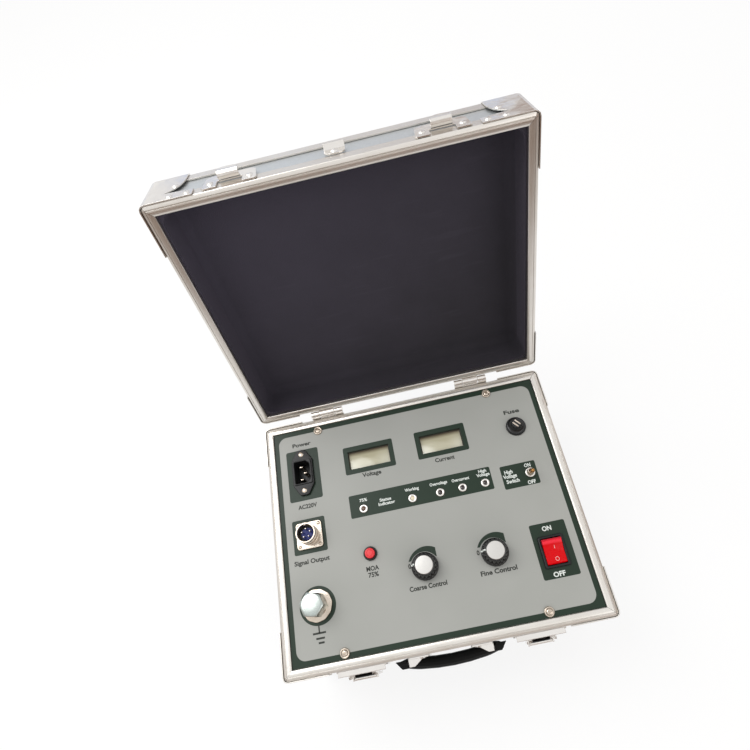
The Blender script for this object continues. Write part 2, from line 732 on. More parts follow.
# Hardware
def hinges(case, lid):
    """Two butt hinges: the base's leaf holds the pin and the outer knuckles, the lid's the middle."""
    leaf_front = BACK + CLEAR
    leaf_back = leaf_front + HINGE_WALL
    half = HINGE_WIDTH / 2
    inner = half - KNUCKLE_END
    middle = inner - CLEAR
    bore = PIN_RADIUS + PIN_CLEAR
    low = RIM_TOP - HINGE_LEAF
    top = LID_RIM + HINGE_LEAF
    base_edge = HINGE_Z - KNUCKLE_RADIUS - KNUCKLE_ROOM
    lid_edge = HINGE_Z + KNUCKLE_RADIUS * 0.75
    for sign, side in ((-1, "left"), (1, "right")):
        x = sign * HINGE_X
        at = (x, HINGE_Y, HINGE_Z)
        plate = box((x - half, leaf_front, low), (x + half, leaf_back, base_edge))
        leaf = piece(f"hinge_base_leaf_{side}", plate, case, "chrome")
        for end, (near, far) in (("left", (-half, -inner)), ("right", (inner, half))):
            neck = box((x + near, leaf_front, base_edge - 0.001), (x + far, leaf_back, HINGE_Z + 0.0002))
            join(leaf, neck, f"neck_{end}")
            join(leaf, cylinder(at, KNUCKLE_RADIUS, near + 0.0001, far - 0.0001, 20, "x"), f"knuckle_{end}")
        join(leaf, cylinder(at, PIN_RADIUS, -half + 0.002, half - 0.002, 16, "x"), "pin")
        heads = None
        for dx in (-1, 1):
            heads = rivet(heads, (x + dx * (half - 0.006), leaf_back, low + 0.006), "y+")
        join(leaf, heads, "rivets")

        plate = box((x - half, leaf_front, lid_edge), (x + half, leaf_back, top))
        leaf = piece(f"hinge_lid_leaf_{side}", plate, lid, "chrome")
        neck = box((x - middle, leaf_front, HINGE_Z - 0.0002), (x + middle, leaf_back, lid_edge + 0.001))
        join(leaf, neck, "neck")
        wide = middle - 0.0001
        section = [(bore, -wide), (KNUCKLE_RADIUS, -wide), (KNUCKLE_RADIUS, wide), (bore, wide)]
        join(leaf, turned(section, at, 20, "x"), "knuckle")
        join(leaf, stop_heel(x, middle - 0.0003), "heel")
        heads = None
        for dx in (-1, 1):
            heads = rivet(heads, (x + dx * (half - 0.006), leaf_back, top - 0.005), "y+")
        join(leaf, heads, "rivets")


def stop_heel(x, half):
    """A lug along the lid's knuckle that meets the base's leaf when the lid has opened fully."""
    meets = Vector((0, HINGE_WALL + 2 * CLEAR - HINGE_BEHIND, -KNUCKLE_RADIUS - KNUCKLE_ROOM - HEEL_DROP))
    far = Matrix.Rotation(LID_OPEN, 4, "X") @ meets
    reach = far.normalized()
    across = Vector((0, -reach.z, reach.y)) * HEEL_WIDTH / 2
    near = reach * (KNUCKLE_RADIUS * 0.8)
    outline = [near - across, near + across, far + across * 2, far]
    return prism([(HINGE_Y + p.y, HINGE_Z + p.z) for p in outline], x - half, x + half, "x")


def latches(case, lid):
    """Two toggle latches: riveted plate, lever on a pin between its ears, bail on the lever."""
    plate_face = FRONT - CLEAR - LATCH_WALL
    for sign, side in ((-1, "left"), (1, "right")):
        x = sign * LATCH_X
        lever_at = (x, FRONT - LEVER_PIVOT_OUT, RIM_TOP - LEVER_PIVOT_DOWN)
        bail_at = (x, FRONT - BAIL_PIVOT_OUT, RIM_TOP - BAIL_PIVOT_DOWN)
        latch_plate(case, side, x, plate_face, lever_at)
        lever_axis = pivot(f"latch_lever_axis_{side}", lever_at, case)
        latch_lever(lever_axis, side, x, lever_at, bail_at)
        bail_axis = pivot(f"latch_bail_axis_{side}", bail_at, lever_axis)
        latch_bail(bail_axis, side, x, bail_at)
        keeper(lid, side, x, plate_face)


def latch_plate(case, side, x, face, lever_at):
    """The latch's plate with two ears, the lever's pin and four rivets."""
    top = RIM_TOP - LATCH_TOP
    outline = rounded(LATCH_WIDTH, LATCH_HEIGHT, 0.003, 2, (x, top - LATCH_HEIGHT / 2))
    plate = piece(f"latch_plate_{side}", prism(outline, face, FRONT - CLEAR, "y"), case, "chrome")
    high, low = lever_at[2] + 0.006, lever_at[2] - 0.010
    front = FRONT - EAR_REACH
    ear = [(FRONT - CLEAR - LATCH_WALL / 2, high), (front + 0.002, high), (front, high - 0.002),
           (front, low + 0.005), (FRONT - CLEAR - LATCH_WALL / 2, low)]
    for dx in (-1, 1):
        ends = sorted((x + dx * EAR_GAP, x + dx * (EAR_GAP + LATCH_WALL)))
        join(plate, prism(ear, *ends, "x"), "ear_left" if dx < 0 else "ear_right")
    reach = EAR_GAP + LATCH_WALL / 2
    join(plate, cylinder(lever_at, LEVER_PIN, -reach, reach, 12, "x"), "pin")
    hood = [(FRONT - CLEAR - LATCH_WALL / 2, top), (face - LATCH_HOOD + 0.0004, top),
            (face - LATCH_HOOD, top - 0.0004), (face - LATCH_HOOD, top - LATCH_WALL),
            (FRONT - CLEAR - LATCH_WALL / 2, top - LATCH_WALL)]
    wide = LATCH_WIDTH / 2 - 0.002
    join(plate, prism(hood, x - wide, x + wide, "x"), "hood")
    heads = None
    for dx in (-1, 1):
        for height in (top - 0.006, top - LATCH_HEIGHT + 0.006):
            heads = rivet(heads, (x + dx * (LATCH_WIDTH / 2 - 0.005), face, height), "y-")
    join(plate, heads, "rivets")


def latch_lever(axis, side, x, at, bail_at):
    """The lever: a barrel round its pin, a blade, a finger tongue and cheeks for the bail's pin."""
    half = EAR_GAP - 0.0004
    bore = LEVER_PIN + PIN_CLEAR
    roll = bail_half_width() - BAIL_ARM - CLEAR
    barrel = turned([(bore, -roll), (LEVER_BARREL, -roll), (LEVER_BARREL, roll), (bore, roll)], at, 20, "x")
    lever = piece(f"latch_lever_{side}", barrel, axis, "chrome")
    back, front = at[1] + LEVER_WALL / 2, at[1] - LEVER_WALL / 2
    top = at[2] - (bore + LEVER_BARREL) / 2
    low = at[2] - LEVER_LENGTH
    join(lever, box((x - half, front, low), (x + half, back, top)), "blade")
    tongue = LEVER_TONGUE / 2
    tip = low - LEVER_TONGUE_LENGTH
    out = 0.0040
    outline = [(back, low + 0.002), (back, low - 0.001), (back - out, tip), (front - out, tip),
               (front, low - 0.0005), (front, low + 0.002)]
    join(lever, prism(outline, x - tongue, x + tongue, "x"), "tongue")
    cheek_front = bail_at[1] - BAIL_EYE
    cheek = [(at[1], at[2] - 0.0022), (cheek_front, bail_at[2] + 0.0020), (cheek_front, bail_at[2] - 0.0020),
             (at[1], bail_at[2] - 0.0090)]
    for dx in (-1, 1):
        ends = sorted((x + dx * (half - LATCH_WALL), x + dx * half))
        join(lever, prism(cheek, *ends, "x"), "cheek_left" if dx < 0 else "cheek_right")
    reach = half - LATCH_WALL / 2
    join(lever, cylinder(bail_at, BAIL_PIN, -reach, reach, 12, "x"), "bail_pin")


def latch_bail(axis, side, x, at):
    """The bail: a curl round the lever's pin, two arms, and the bar that hooks over the keeper."""
    half = bail_half_width()
    reach = bail_length() + BAIL_BAR
    front, back = at[1] - BAIL_WALL / 2, at[1] + BAIL_WALL / 2
    low = at[2] - reach
    frame = rounded(2 * half, reach, 0.0025, 2, (x, at[2] - reach / 2))
    bail = piece(f"latch_bail_{side}", prism(frame, front, back, "y"), axis, "chrome")
    window = half - BAIL_ARM
    gap = box((x - window, front - 0.01, low + BAIL_BAR), (x + window, back + 0.01, at[2] + 0.01))
    cut(bail, gap, "window")
    join(bail, cylinder(at, BAIL_EYE, -half + 0.0001, half - 0.0001, 16, "x"), "curl")
    bore = BAIL_PIN + PIN_CLEAR
    cut(bail, cylinder(at, bore, -half - 0.001, half + 0.001, 12, "x"), "bore")


def bail_half_width():
    return EAR_GAP - 0.0004 - LATCH_WALL - CLEAR


def bail_length():
    """From the bail's pin to the inside of its bar, so that the bar clears the keeper's seat."""
    return BAIL_PIVOT_DOWN + RIM_GAP + HOOK_SEAT + 3 * CLEAR


def keeper(lid, side, x, face):
    """The lid's keeper: a notched plate, and a hook of sheet that curls out of the notch and up."""
    low = LID_RIM + KEEPER_START
    high = low + KEEPER_HEIGHT
    seat = LID_RIM + HOOK_SEAT
    wide, narrow = KEEPER_WIDTH / 2, KEEPER_WIDTH / 2 - KEEPER_TAPER
    half = [(KEEPER_NOTCH, seat + 0.0005), (KEEPER_NOTCH, low), (wide - 0.0015, low), (wide, low + 0.0015),
            (wide - KEEPER_TAPER * 0.6, high - 0.0035), (narrow - 0.0010, high - 0.0012),
            (narrow - 0.0035, high)]
    outline = [(x + a, b) for a, b in half] + [(x - a, b) for a, b in reversed(half)]
    plate = piece(f"latch_keeper_{side}", prism(outline, face, FRONT - CLEAR, "y"), lid, "chrome")
    join(plate, keeper_hook(x, seat), "hook")
    heads = None
    for dx in (-1, 1):
        heads = rivet(heads, (x + dx * (KEEPER_WIDTH / 2 - 0.006), face, low + 0.0075), "y-")
    join(plate, heads, "rivets")


def keeper_hook(x, seat):
    """Sections of the curled sheet side by side. Its free edge has round corners."""
    centre_y, centre_z = FRONT - HOOK_CENTRE_OUT, seat + HOOK_RADIUS - HOOK_WALL / 2 - 0.0001
    outer, inner = HOOK_RADIUS + HOOK_WALL / 2, HOOK_RADIUS - HOOK_WALL / 2
    root = centre_z + 0.0010
    rings = []
    for share in rounded_shares():
        across = share * HOOK_WIDTH / 2
        tip = seat + HOOK_TIP - HOOK_TIP_ROUND * (1 - math.sqrt(1 - share ** 2))
        arc = [math.pi * step / 6 for step in range(7)]
        ring = [(centre_y + outer, root)]
        ring += [(centre_y + outer * math.cos(a), centre_z - outer * math.sin(a)) for a in arc]
        ring += [(centre_y - outer, tip), (centre_y - inner, tip)]
        ring += [(centre_y + inner * math.cos(a), centre_z - inner * math.sin(a)) for a in reversed(arc)]
        ring += [(centre_y + inner, root)]
        rings.append([(x + across, y, z) for y, z in ring])
    return loft(rings)


def rounded_shares():
    """Shares of a half width, closer together near the ends, where a rounded edge bends most."""
    return [math.sin(math.pi / 2 * step / 4) for step in range(-4, 5)]


def finger_tab(lid):
    """A bent tab in the middle of the lid's front, to lift it by. Its lower edge is round."""
    face = FRONT - CLEAR - LATCH_WALL
    low = LID_RIM + TAB_START
    high = low + TAB_HEIGHT
    back = FRONT - CLEAR
    flare = TAB_FLARE
    rings = []
    for share in rounded_shares():
        edge = low + TAB_ROUND * (1 - math.sqrt(1 - share ** 2))
        ring = [(back, edge), (back, high), (back - flare, high + flare * 0.8),
                (back - flare - LATCH_WALL, high + flare * 0.8 - 0.0006), (face, high - 0.0004), (face, edge)]
        rings.append([(share * TAB_WIDTH / 2, y, z) for y, z in ring])
    tab = piece("lid_finger_tab", loft(rings), lid, "chrome")
    join(tab, rivet(None, (0, face, low + 0.0045), "y-"), "rivet")


def carrying_handle(case):
    """Two riveted brackets with pins, and a bowed grip that hangs on them."""
    axis_at = (0, FRONT - HANDLE_PIVOT_OUT, RIM_TOP - HANDLE_PIVOT_DOWN)
    face = FRONT - CLEAR - BRACKET_WALL
    edge = BRACKET_X + BRACKET_WIDTH / 2
    top = RIM_TOP - BRACKET_TOP
    for sign, side in ((-1, "left"), (1, "right")):
        x = sign * BRACKET_X
        outline = rounded(BRACKET_WIDTH, BRACKET_HEIGHT, 0.003, 2, (x, top - BRACKET_HEIGHT / 2))
        bracket = piece(f"handle_bracket_{side}", prism(outline, face, FRONT - CLEAR, "y"), case, "chrome")
        reach = HANDLE_EYE * 0.9
        root = FRONT - CLEAR - BRACKET_WALL / 2
        nose = axis_at[1] - reach * 0.8
        ear = [(root, axis_at[2] + reach), (axis_at[1], axis_at[2] + reach), (nose, axis_at[2] + reach * 0.5),
               (nose, axis_at[2] - reach * 0.5), (axis_at[1], axis_at[2] - reach),
               (root, axis_at[2] - reach * 1.5)]
        ends = sorted((sign * (edge - BRACKET_WALL), sign * (edge + 0.0002)))
        join(bracket, prism(ear, *ends, "x"), "ear")
        web_top = axis_at[2] + reach - 0.0001
        inner = edge - BRACKET_WIDTH
        out = FRONT - BRACKET_WEB
        web = [(inner + 0.001, root), (inner + 0.003, root - 0.0010), (inner + 0.008, root - 0.0022),
               (inner + 0.0125, out + 0.0016), (inner + 0.0150, out), (edge, out), (edge, root)]
        web = [(sign * a, b) for a, b in web]
        join(bracket, prism(web, web_top - BRACKET_WALL, web_top), "web")
        ends = sorted((sign * (edge - BRACKET_WALL / 2), sign * (edge + HANDLE_PIN_LENGTH)))
        join(bracket, cylinder((0, *axis_at[1:]), HANDLE_PIN, *ends, 16, "x"), "pin")
        heads = None
        for height in (top - 0.007, top - BRACKET_HEIGHT + 0.006):
            heads = rivet(heads, (x - sign * 0.003, face, height), "y-")
        join(bracket, heads, "rivets")

    axis = pivot("handle_axis", axis_at, case)
    eye_start = edge + 0.0002 + CLEAR
    eye_end = eye_start + ARM_WIDTH
    arm = (eye_start + eye_end) / 2
    grip = piece("handle_grip", grip_shape(axis_at, arm), axis, "black_plastic")
    for sign, side in ((-1, "left"), (1, "right")):
        ends = sorted((sign * eye_start, sign * (eye_end - HANDLE_TOE)))
        join(grip, cylinder(axis_at, HANDLE_EYE, *ends, 20, "x"), f"eye_{side}")
        near, far = axis_at[1] + ARM_THICKNESS / 2, axis_at[1] - ARM_THICKNESS / 2
        toe = [(eye_start + 0.002, near), (eye_end + HANDLE_TOE, near), (eye_end - HANDLE_TOE, far),
               (eye_start + 0.002, far)]
        toe = [(sign * a, b) for a, b in toe]
        join(grip, prism(toe, axis_at[2] - ARM_THICKNESS / 2, axis_at[2] + ARM_THICKNESS / 2), f"toe_{side}")
        ends = sorted((sign * (eye_start - 0.002), sign * (edge + HANDLE_PIN_LENGTH + CLEAR)))
        cut(grip, cylinder(axis_at, HANDLE_PIN + PIN_CLEAR, *ends, 16, "x"), f"bore_{side}")


def grip_shape(at, arm):
    """Oval sections along a path: down one arm, round a bend, along the grip and up the other."""
    path = [(-arm, 0.0), (-arm, -HANDLE_DROP * 0.45)]
    bend = HANDLE_BEND
    for step in range(5):
        turn = math.pi / 2 * step / 4
        path.append((-arm + bend - bend * math.cos(turn), -HANDLE_DROP + bend - bend * math.sin(turn)))
    path += [(-arm * 0.36, -HANDLE_DROP), (0.0, -HANDLE_DROP)]
    path += [(-x, z) for x, z in reversed(path[:-1])]
    rings = []
    sides = 12
    for index, (x, z) in enumerate(path):
        before = path[max(index - 1, 0)]
        after = path[min(index + 1, len(path) - 1)]
        along = Vector((after[0] - before[0], 0, after[1] - before[1])).normalized()
        across = Vector((along.z, 0, -along.x))
        swell = min(1.0, max(0.0, -z / HANDLE_DROP - 0.35) / 0.65) ** 1.5
        wide = ARM_WIDTH + (GRIP_HEIGHT - ARM_WIDTH) * swell
        thick = ARM_THICKNESS + (GRIP_THICKNESS - ARM_THICKNESS) * swell
        bow = HANDLE_BOW * (1 - (x / arm) ** 2)
        centre = Vector((x, at[1] - bow, at[2] + z))
        ring = []
        for side in range(sides):
            turn = math.tau * side / sides
            outward = Vector((0, thick / 2 * math.sin(turn), 0))
            ring.append(centre + across * (wide / 2 * math.cos(turn)) + outward)
        rings.append(ring)
    return loft(rings)


# The panel and what is on it
def panel_and_rails(case):
    """The panel with its cut-outs, and the frame of angle under it with its four screws."""
    size = (CASE_WIDTH - 2 * PANEL_INSET, CASE_DEPTH - 2 * PANEL_INSET)
    panel = piece("front_panel", block((0, 0), size, PANEL_BACK, PANEL_FACE), case, "panel_grey")
    low, high = PANEL_BACK - 0.01, PANEL_FACE + 0.01
    room = 2 * HOLE_CLEAR
    holes = block(INLET_AT, [size + room for size in INLET_BODY], low, high)
    for x in METER_X:
        block((x, METER_Y), METER_WINDOW, low, high, holes)
    block(ROCKER_AT, [size + room for size in ROCKER_BODY], low, high, holes)
    for at, radius in round_holes():
        cylinder((*at, 0), radius + HOLE_CLEAR, low, high, 24, "z", holes)
    for sx in (-1, 1):
        for sy in (-1, 1):
            at = (sx * SCREW_X, sy * (CASE_DEPTH / 2 - SCREW_INSET), 0)
            cylinder(at, SCREW_RADIUS + HOLE_CLEAR, low, high, 16, "z", holes)
    cut(panel, holes, "holes")

    under = -PANEL_DROP - PANEL_THICKNESS - CLEAR
    wall = BOARD_INSIDE + CLEAR
    shelf_end = PANEL_INSET + RAIL_SHELF
    section = [(PANEL_INSET, under), (shelf_end, under), (shelf_end, under - RAIL_WALL),
               (wall + RAIL_WALL, under - RAIL_WALL), (wall + RAIL_WALL, -RAIL_DROP), (wall, -RAIL_DROP),
               (wall, -RIM_LIP - CLEAR), (PANEL_INSET, -RIM_LIP - CLEAR)]
    rails = piece("panel_rails", around_case(section, RIM_TOP), case, "aluminium")
    head = PANEL_FACE + CLEAR
    shelf = RIM_TOP + under - RAIL_WALL
    profile = [(0, shelf - 0.005), (SCREW_RADIUS, shelf - 0.005), (SCREW_RADIUS, head), (WASHER_RADIUS, head),
               (WASHER_RADIUS - 0.0008, head + 0.0008), (SCREW_HEAD, head + 0.0009)]
    profile += [(r, head + 0.0012 + z) for r, z in dome(SCREW_HEAD, 0.0009, 2)]
    screws = None
    for sx in (-1, 1):
        for sy in (-1, 1):
            at = (sx * SCREW_X, sy * (CASE_DEPTH / 2 - SCREW_INSET), 0)
            screws = turned(profile, at, 16, "z", screws)
    join(rails, screws, "screws")


def round_holes():
    """Middle and radius of every round piece that passes through the panel."""
    holes = [((x, LAMP_Y), LAMP_BARREL) for x in LAMP_X]
    holes += [(FUSE_AT, FUSE_BODY), (TOGGLE_AT, TOGGLE_BUSHING), (SOCKET_AT, SOCKET_TAIL)]
    holes += [(BUTTON_AT, BUTTON_BORE + COLLAR / 2), (GROUND_AT, GROUND_STUD)]
    holes += [(at, POT_BUSHING) for at in KNOB_AT]
    return holes


def power_inlet(case):
    """The mains inlet: flange, shroud, socket with three blades, body behind the panel."""
    x, y = INLET_AT
    base = PANEL_FACE + CLEAR
    half, ear = INLET_BODY[1] / 2, INLET_FLANGE[1] / 2
    wide, narrow = INLET_FLANGE[0] / 2, INLET_FLANGE[0] / 5
    outline = [(wide, -half), (wide, half), (narrow, ear), (-narrow, ear), (-wide, half), (-wide, -half),
               (-narrow, -ear), (narrow, -ear)]
    top = base + INLET_FLANGE_RISE
    flange = prism([(x + a, y + b) for a, b in outline], base, top)
    inlet = piece("power_inlet", flange, case, "black_plastic")
    brim = top + INLET_SHROUD_RISE
    join(inlet, block(INLET_AT, INLET_BODY, PANEL_BACK - INLET_DEPTH, brim), "body")
    a, b = INLET_SOCKET[0] / 2, INLET_SOCKET[1] / 2
    bevel = 0.004
    socket = [(a, b), (-a + bevel, b), (-a, b - bevel), (-a, -b + bevel), (-a + bevel, -b), (a, -b)]
    floor = brim - INLET_SOCKET_DEPTH
    cut(inlet, prism([(x + p, y + q) for p, q in socket], floor, brim + 0.01), "socket")
    pins = None
    for offset, shift in ((-INLET_PIN_SPACING, 1), (INLET_PIN_SPACING, 1), (0, -1)):
        middle = (x + shift * INLET_PIN[0] / 2, y + offset)
        pins = block(middle, INLET_PIN, floor - 0.001, floor + INLET_PIN_HEIGHT, pins)
    join(inlet, pins, "pins")
    heads = None
    for sign in (-1, 1):
        heads = screw_head((x, y + sign * INLET_SCREW_SPACING / 2, top), INLET_SCREW, heads)
    join(inlet, heads, "screws")


def meters(case):
    """Two digital meters behind their windows: flange with a sunk display, and body."""
    top = PANEL_BACK - CLEAR
    for name, x in zip(("voltage_meter", "current_meter"), METER_X):
        at = (x, METER_Y)
        flange = block(at, METER_FLANGE, top - METER_FLANGE_THICKNESS, top)
        meter = piece(name, flange, case, "meter_plastic")
        join(meter, block(at, METER_BODY, top - METER_DEPTH, top - METER_FLANGE_THICKNESS / 2), "body")
        cut(meter, block(at, METER_WINDOW, top - METER_RECESS, top + 0.01), "display")


def indicator_lamps(case):
    """Five lamps in their collars, standing on one strip of board under the panel."""
    top = PANEL_BACK - LAMP_BOARD_DROP
    start, end = LAMP_X[0] - LAMP_BOARD_WIDTH / 2, LAMP_X[-1] + LAMP_BOARD_WIDTH / 2
    half = LAMP_BOARD_WIDTH / 2
    strip = box((start, LAMP_Y - half, top - BOARD_THICKNESS), (end, LAMP_Y + half, top))
    lamps = piece("indicator_lamps", strip, case, "board_green")
    collar = PANEL_FACE + CLEAR
    foot = top - BOARD_THICKNESS / 2
    brim = collar + LAMP_RISE
    profile = [(0, foot), (LAMP_BARREL, foot), (LAMP_BARREL, collar), (LAMP_RADIUS, collar),
               (LAMP_RADIUS, collar + LAMP_RISE / 2), (LAMP_RADIUS - 0.0006, brim), (LAMP_BARREL, brim)]
    profile += [(r, collar + LAMP_RISE * 0.6 + z) for r, z in dome(LAMP_BARREL * 0.85, LAMP_DOME)]
    columns = None
    for x in LAMP_X:
        columns = turned(profile, (x, LAMP_Y, 0), 16, "z", columns)
    join(lamps, columns, "lamps")


def fuse(case):
    """The fuse holder and its bell-shaped cap, which turns to come out."""
    base = PANEL_FACE + CLEAR
    low = PANEL_BACK - FUSE_DEPTH
    collar = base + FUSE_FLANGE_RISE
    tip = base - FUSE_STEM_LENGTH
    floor = tip - 0.002
    profile = [(0, low), (FUSE_BODY, low), (FUSE_BODY, base), (FUSE_FLANGE, base), (FUSE_FLANGE, collar),
               (FUSE_BORE, collar), (FUSE_BORE, floor), (0, floor)]
    piece("fuse_holder", turned(profile, (*FUSE_AT, 0), 24), case, "black_plastic")

    under = collar + CLEAR
    axis = pivot("fuse_cap_axis", (*FUSE_AT, under), case)
    top = under + FUSE_CAP_RISE
    profile = [(0, tip), (FUSE_STEM, tip), (FUSE_STEM, under), (FUSE_CAP, under), (FUSE_CAP, under + 0.0008)]
    steps = 5
    for step in range(1, steps + 1):
        turn = math.pi / 2 * step / steps
        profile.append((FUSE_CAP_TOP + (FUSE_CAP - FUSE_CAP_TOP) * (1 - math.sin(turn)),
                        top - 0.0006 - (FUSE_CAP_RISE - 0.0014) * math.cos(turn)))
    profile += [(FUSE_CAP_TOP - 0.0006, top), (0, top)]
    cap = piece("fuse_cap", turned(profile, (*FUSE_AT, 0), 24), axis, "black_plastic")
    slot = block(FUSE_AT, (2.2 * FUSE_CAP, FUSE_SLOT), top - FUSE_SLOT_DEPTH, top + 0.01)
    cut(cap, slot, "slot")
    notches = None
    for index in range(FUSE_RIBS):
        turn = math.tau * (index + 0.5) / FUSE_RIBS
        reach = FUSE_CAP_TOP + 0.0009
        at = (FUSE_AT[0] + reach * math.cos(turn), FUSE_AT[1] + reach * math.sin(turn), 0)
        notches = cylinder(at, 0.0011, top - 0.0042, top + 0.01, 6, "z", notches)
    cut(cap, notches, "grips")


def high_voltage_switch(case):
    """A toggle switch: body, bushing with nut, and the lever on its ball."""
    base = PANEL_FACE + CLEAR
    x, y = TOGGLE_AT
    low = PANEL_BACK - TOGGLE_DEPTH
    body = block(TOGGLE_AT, TOGGLE_BODY, low, PANEL_BACK - CLEAR)
    switch = piece("high_voltage_switch", body, case, "chrome")
    top = base + TOGGLE_RISE
    join(switch, cylinder((x, y, 0), TOGGLE_BUSHING, PANEL_BACK - 0.002, top, 20), "bushing")
    join(switch, prism(hexagon(TOGGLE_AT, TOGGLE_NUT), base, base + TOGGLE_NUT_RISE), "nut")
    ball = top - 0.0035
    cut(switch, cylinder((x, y, 0), TOGGLE_BORE, ball - TOGGLE_BALL - 0.0006, top + 0.01, 20), "bore")
    axis = pivot("high_voltage_axis", (x, y, ball), case, TOGGLE_TILT)
    profile = [(0, ball - TOGGLE_BALL)]
    profile += [(TOGGLE_BALL * math.sin(t), ball - TOGGLE_BALL * math.cos(t))
                for t in (math.radians(a) for a in (35, 70, 105, 140))]
    profile += [(TOGGLE_NECK, ball + TOGGLE_BALL), (TOGGLE_TIP, ball + TOGGLE_LEVER - TOGGLE_TIP),
                (TOGGLE_TIP * 0.7, ball + TOGGLE_LEVER - TOGGLE_TIP * 0.3), (0, ball + TOGGLE_LEVER)]
    piece("high_voltage_lever", turned(profile, (x, y, 0), 16), axis, "chrome")


def signal_socket(case):
    """A round locking socket: flange and barrel, and the insert with its pins on the ledge inside."""
    base = PANEL_FACE + CLEAR
    x, y = SOCKET_AT
    top = base + SOCKET_RISE
    seat = base + SOCKET_SEAT
    low = PANEL_BACK - 0.012
    outline = rounded(SOCKET_FLANGE, SOCKET_FLANGE, 0.003, 2, SOCKET_AT)
    flange = prism(outline, base, base + SOCKET_FLANGE_RISE)
    socket = piece("signal_socket", flange, case, "chrome")
    profile = [(0, low), (SOCKET_TAIL, low), (SOCKET_TAIL, base + 0.001), (SOCKET_BARREL, base + 0.001),
               (SOCKET_BARREL, top - 0.0008), (SOCKET_BARREL - 0.0008, top), (0, top)]
    join(socket, turned(profile, (x, y, 0), 24), "barrel")
    profile = [(0, low - 0.01), (SOCKET_SEAT_BORE, low - 0.01), (SOCKET_SEAT_BORE, seat), (SOCKET_BORE, seat),
               (SOCKET_BORE, top + 0.01), (0, top + 0.01)]
    cut(socket, turned(profile, (x, y, 0), 24), "bore")
    heads = None
    for sx in (-1, 1):
        for sy in (-1, 1):
            reach = SOCKET_FLANGE * 0.39
            place = (x + sx * reach, y + sy * reach, base + SOCKET_FLANGE_RISE)
            heads = screw_head(place, SOCKET_SCREW, heads)
    join(socket, heads, "screws")

    bottom = seat + CLEAR
    face = bottom + INSERT_THICKNESS
    disc = cylinder((x, y, 0), SOCKET_BORE - CLEAR, bottom, face, 24)
    insert = piece("signal_insert", disc, case, "blue_plastic")
    pins = None
    for index in range(SOCKET_PINS):
        turn = math.tau * index / SOCKET_PINS + math.pi / 2
        at = (x + SOCKET_PIN_CIRCLE * math.cos(turn), y + SOCKET_PIN_CIRCLE * math.sin(turn), 0)
        pins = cylinder(at, SOCKET_PIN, face - 0.001, face + SOCKET_PIN_HEIGHT, 8, "z", pins)
    join(insert, pins, "pins")


def test_button(case):
    """A push button: bezel with its barrel, and the cap that slides in it."""
    base = PANEL_FACE + CLEAR
    at = (*BUTTON_AT, 0)
    low = PANEL_BACK - BUTTON_DEPTH
    barrel = BUTTON_BORE + COLLAR / 2
    top = base + BUTTON_BEZEL_RISE
    travel_room = BUTTON_TRAVEL + CLEAR
    foot = top - 0.008
    profile = [(0, low), (barrel, low), (barrel, base), (BUTTON_BEZEL, base), (BUTTON_BEZEL, top - 0.0006),
               (BUTTON_BEZEL - 0.0006, top), (BUTTON_BORE, top), (BUTTON_BORE, foot - travel_room),
               (0, foot - travel_room)]
    piece("button_bezel", turned(profile, at, 24), case, "black_plastic")
    proud = top + BUTTON_PROUD
    profile = [(0, foot), (BUTTON_CAP, foot), (BUTTON_CAP, proud - 0.0008),
               (BUTTON_CAP - 0.0006, proud - 0.0002), (0, proud)]
    piece("test_button", turned(profile, at, 24), case, "red_plastic")


def knobs(case):
    """Two potentiometers under the panel and their ribbed knobs, each with its shaft."""
    base = PANEL_FACE + CLEAR
    for name, (x, y) in zip(("coarse", "fine"), KNOB_AT):
        low = PANEL_BACK - POT_DEPTH
        deck = PANEL_BACK - CLEAR
        bushing = base + KNOB_LIFT - 0.0008
        bore = POT_SHAFT + PIN_CLEAR
        shaft_end = low + 0.003
        pocket = shaft_end - CLEAR
        profile = [(0, low), (POT_BODY, low), (POT_BODY, deck), (POT_BUSHING, deck), (POT_BUSHING, bushing),
                   (bore, bushing), (bore, pocket), (0, pocket)]
        piece(f"{name}_potentiometer", turned(profile, (x, y, 0), 24), case, "zinc")

        under = base + KNOB_LIFT
        axis = pivot(f"{name}_knob_axis", (x, y, under), case)
        top = base + KNOB_HEIGHT
        skirt = under + KNOB_SKIRT_HEIGHT
        levels = ((KNOB_SKIRT, 0, under), (KNOB_SKIRT, 0, skirt - 0.0012), (KNOB_GRIP, KNOB_RIB_DEPTH, skirt),
                  (KNOB_GRIP - 0.0008, KNOB_RIB_DEPTH, top - 0.0022), (KNOB_CROWN + 0.0010, 0, top - 0.0006),
                  (KNOB_CROWN, 0, top))
        rings = [knob_ring(x, y, KNOB_RIBS * 2, *level) for level in levels]
        knob = piece(f"{name}_knob", loft(rings), axis, "black_plastic")
        join(knob, cylinder((x, y, 0), POT_SHAFT, shaft_end, under + 0.002, 20), "shaft")
        tip = x - KNOB_SKIRT - 0.0002
        pointer = box((tip, y - 0.0007, under + 0.0012), (x - KNOB_CROWN, y + 0.0007, skirt + 0.0003))
        join(knob, pointer, "pointer")


def knob_ring(x, y, sides, radius, rib, height):
    """A ring of points whose radius alternates by the depth of a rib."""
    points = []
    for index in range(sides):
        turn = math.tau * index / sides
        reach = radius - (rib if index % 2 else 0)
        points.append((x + reach * math.cos(turn), y + reach * math.sin(turn), height))
    return points


